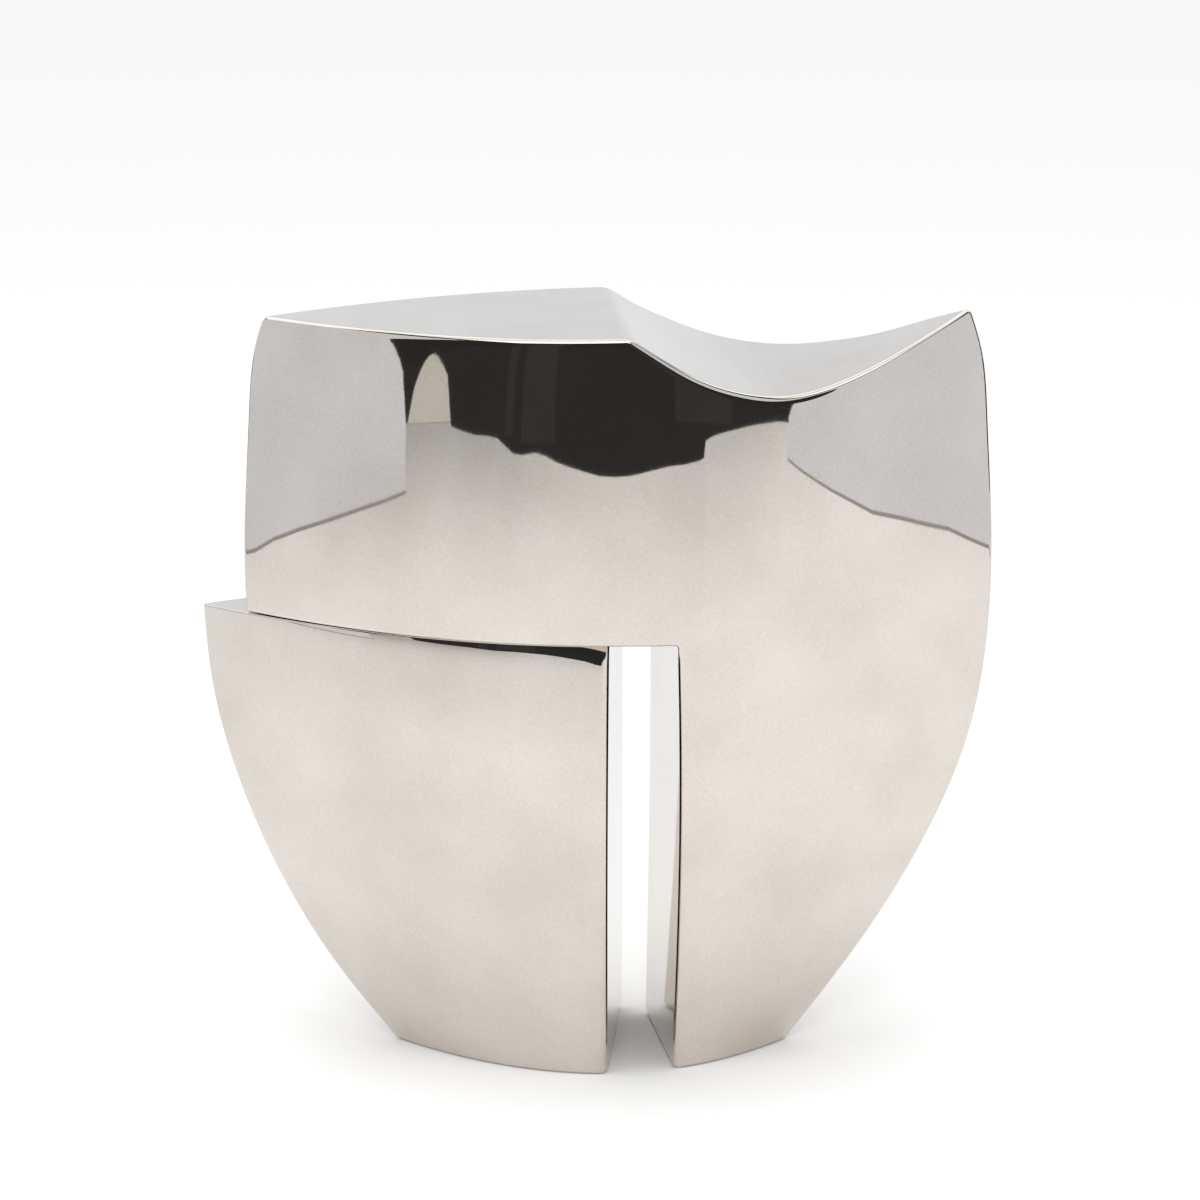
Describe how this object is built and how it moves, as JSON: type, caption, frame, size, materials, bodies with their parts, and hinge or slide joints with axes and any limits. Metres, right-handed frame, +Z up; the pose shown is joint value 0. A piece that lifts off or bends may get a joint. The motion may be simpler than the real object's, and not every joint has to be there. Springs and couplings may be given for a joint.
{
  "type": "abstract metal sculpture",
  "caption": "Mirror-polished steel sculpture with a lens-shaped plan, a flat and a scooped shoulder, a leg, and a set-off lower block beside a tapering slot.",
  "frame": {"origin": "on the surface it stands on, under the middle of the whole work", "axes": "+X to the right seen from the front, +Y towards the back, +Z up"},
  "size_m": [0.3297, 0.1428, 0.3197],
  "materials": {
    "polished_steel": "mirror-polished stainless steel"
  },
  "bodies": {
    "root": {"main_body": "polished_steel", "lower_block": "polished_steel"}
  },
  "joints": []
}
